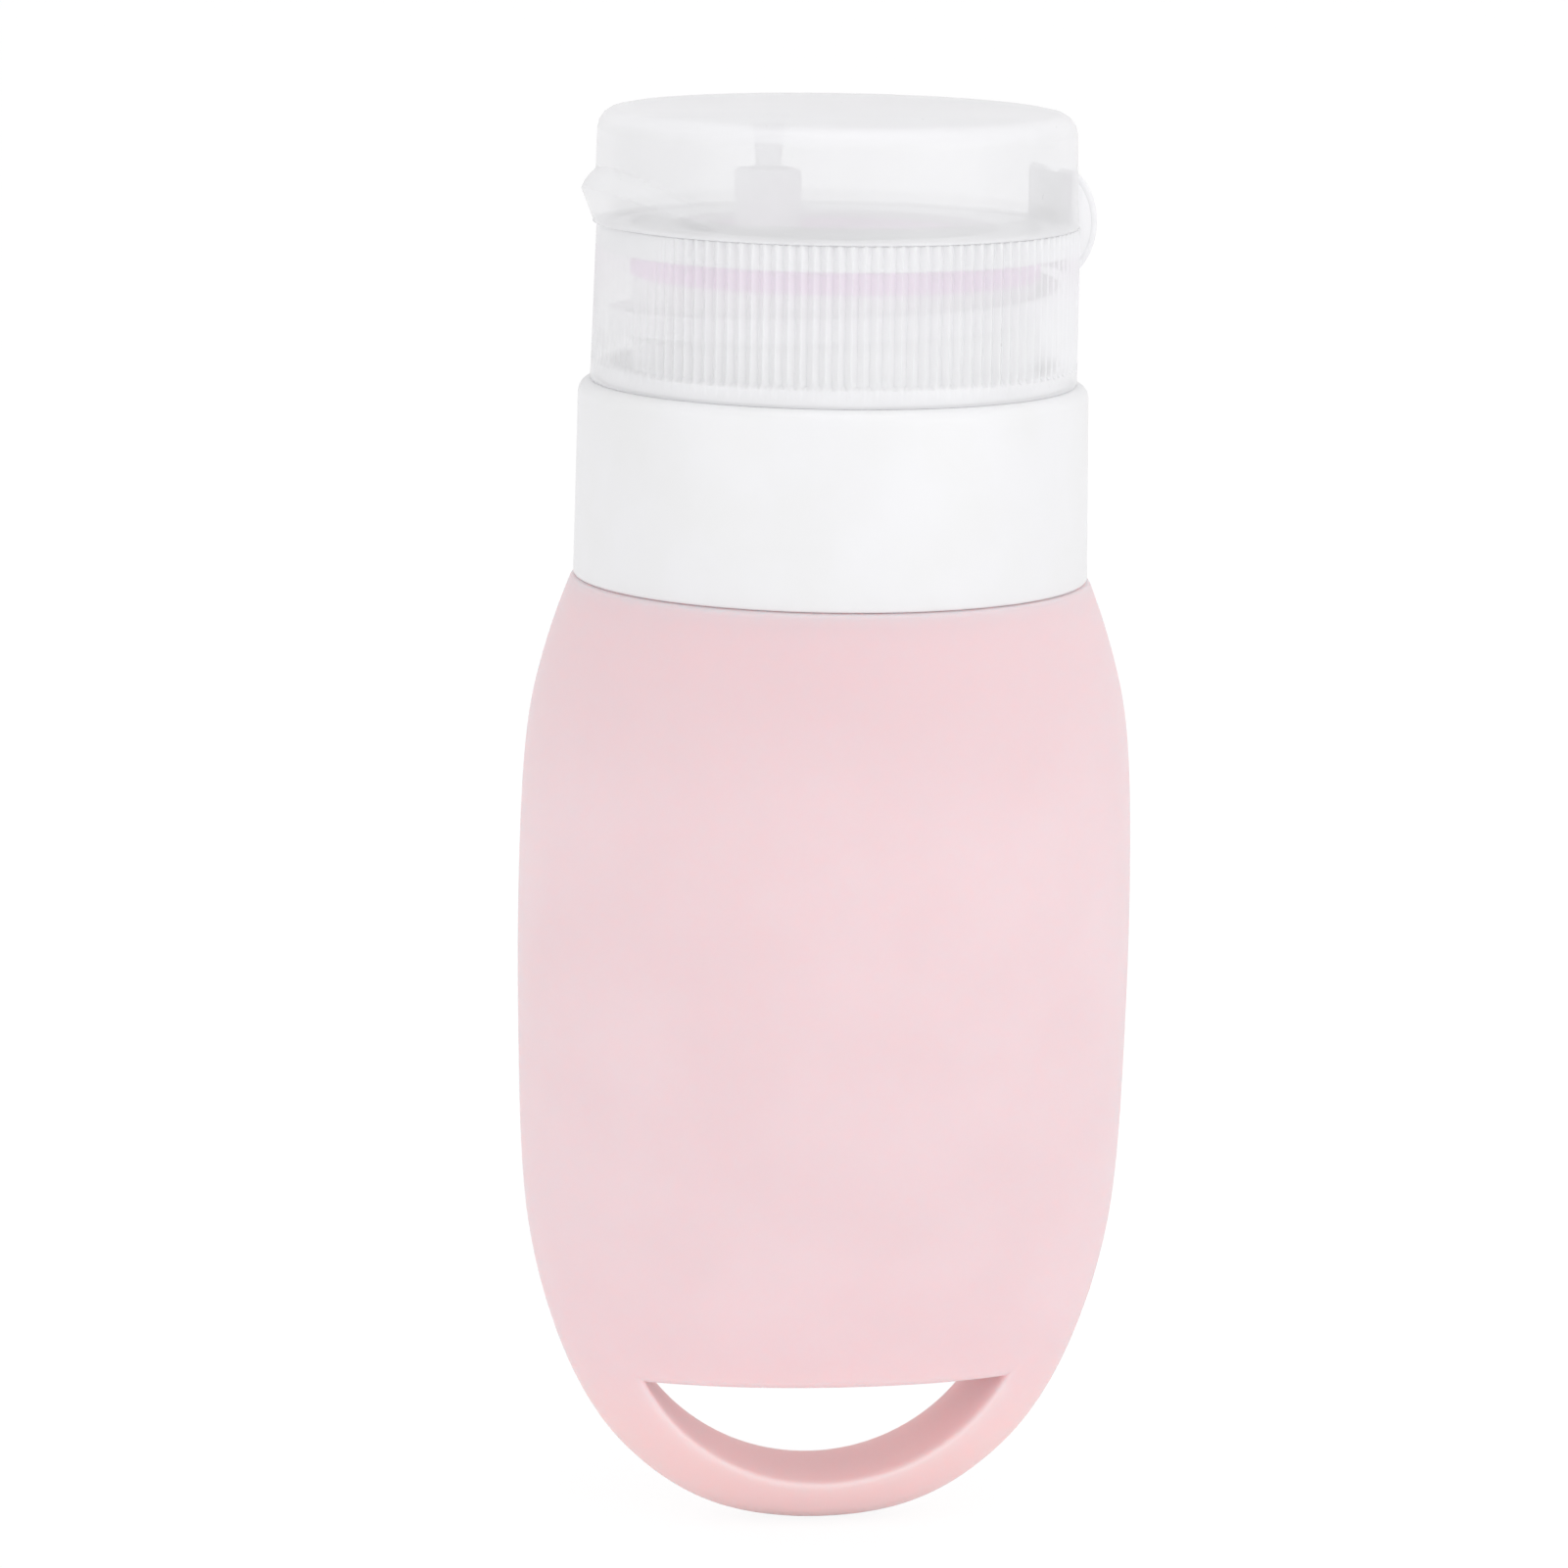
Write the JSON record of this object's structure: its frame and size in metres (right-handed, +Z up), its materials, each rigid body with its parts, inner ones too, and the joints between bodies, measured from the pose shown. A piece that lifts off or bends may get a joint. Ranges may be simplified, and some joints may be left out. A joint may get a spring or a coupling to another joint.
{
  "type": "squeeze bottle",
  "caption": "Small soft silicone travel squeeze bottle with a hanging loop in its flat foot, a clamp collar and a ribbed flip-top screw cap",
  "frame": {"origin": "under the middle of the hanging loop, at the lowest point of the bottle held upright", "axes": "+Z up along the bottle's axis to the lid, X along the wide way of the flattened body, Y front to back through the hanging loop"},
  "size_m": [0.04, 0.0344, 0.093],
  "materials": {
    "pink_silicone": "matte moulded silicone rubber, milky pink",
    "white_polypropylene": "moulded opaque white polypropylene, satin",
    "natural_polypropylene": "moulded natural polypropylene, satin",
    "milky_polypropylene": "moulded translucent polypropylene, smooth",
    "lavender_silicone": "moulded lavender-pink silicone rubber"
  },
  "bodies": {
    "bottle": {"bottle_body": "pink_silicone", "neck_insert": "natural_polypropylene", "collar": "white_polypropylene"},
    "seal": {"seal_gasket": "lavender_silicone"},
    "cap": {"cap_base": "milky_polypropylene", "slit_valve": "lavender_silicone", "valve_retainer": "natural_polypropylene", "hinge_strap_left": "milky_polypropylene", "hinge_strap_right": "milky_polypropylene"},
    "lid": {"flip_lid": "milky_polypropylene"}
  },
  "joints": [
    {"name": "cap_lift", "type": "slide", "parent": "bottle", "child": "seal", "axis": [0, 0, 1], "range_m": [0, 0.0072]},
    {"name": "cap_turn", "type": "hinge", "parent": "seal", "child": "cap", "pos_m": [0, 0, 0.086], "axis": [0, 0, 1], "range_deg": [0, 720]},
    {"name": "lid_flip", "type": "hinge", "parent": "cap", "child": "lid", "pos_m": [0.01596, 0.00398, 0.08577], "axis": [-0.2419, 0.9703, 0], "range_deg": [0, 180], "deforming": ["hinge_strap_left", "hinge_strap_right"]}
  ],
  "couplings": [
    {"joint": "cap_lift", "follows": "cap_turn", "m_per_rad": 0.00057295}
  ]
}
